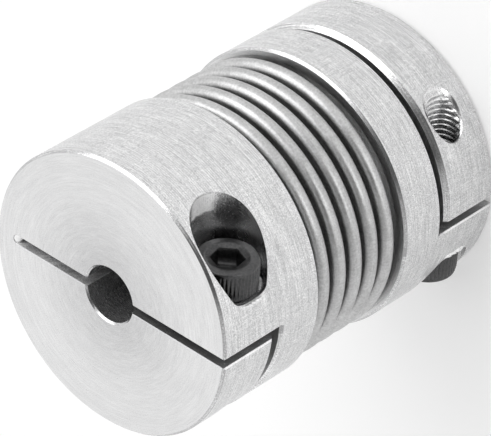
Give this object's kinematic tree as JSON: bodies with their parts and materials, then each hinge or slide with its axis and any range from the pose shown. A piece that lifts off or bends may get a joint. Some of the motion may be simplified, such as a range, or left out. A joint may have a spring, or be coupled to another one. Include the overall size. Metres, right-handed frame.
{
  "type": "bellows coupling",
  "caption": "Flexible shaft coupling: a thin metal bellows bonded between two slit clamping hubs, each closed on its shaft by a socket head cap screw.",
  "frame": {"origin": "on the shaft axis, at the outer face of the lower hub, which the coupling stands on", "axes": "+Z along the shaft axis from the lower hub to the upper hub; +X towards the side where both clamp slits open; the upper screw's head is on the +Y side and the lower screw's head is on the -Y side"},
  "size_m": [0.04, 0.04, 0.053],
  "materials": {
    "hub_aluminium": "fine turned and brushed",
    "bellows_stainless": "smooth formed stainless steel",
    "screw_black_steel": "black oxide"
  },
  "bodies": {
    "lower_end": {"lower_hub": "hub_aluminium", "lower_clamp_screw": "screw_black_steel"},
    "bellows": {"bellows": "bellows_stainless"},
    "upper_end": {"upper_hub": "hub_aluminium", "upper_clamp_screw": "screw_black_steel"}
  },
  "joints": [
    {"name": "flex_about_x", "type": "hinge", "parent": "lower_end", "child": "bellows", "pos_m": [0, 0, 0.0265], "axis": [1, 0, 0], "range_deg": [-1.5, 1.5], "stiffness_Nm_per_rad": 20, "deforming": ["bellows"]},
    {"name": "flex_about_y", "type": "hinge", "parent": "bellows", "child": "upper_end", "pos_m": [0, 0, 0.0265], "axis": [0, 1, 0], "range_deg": [-1.5, 1.5], "stiffness_Nm_per_rad": 20, "deforming": ["bellows"]}
  ]
}
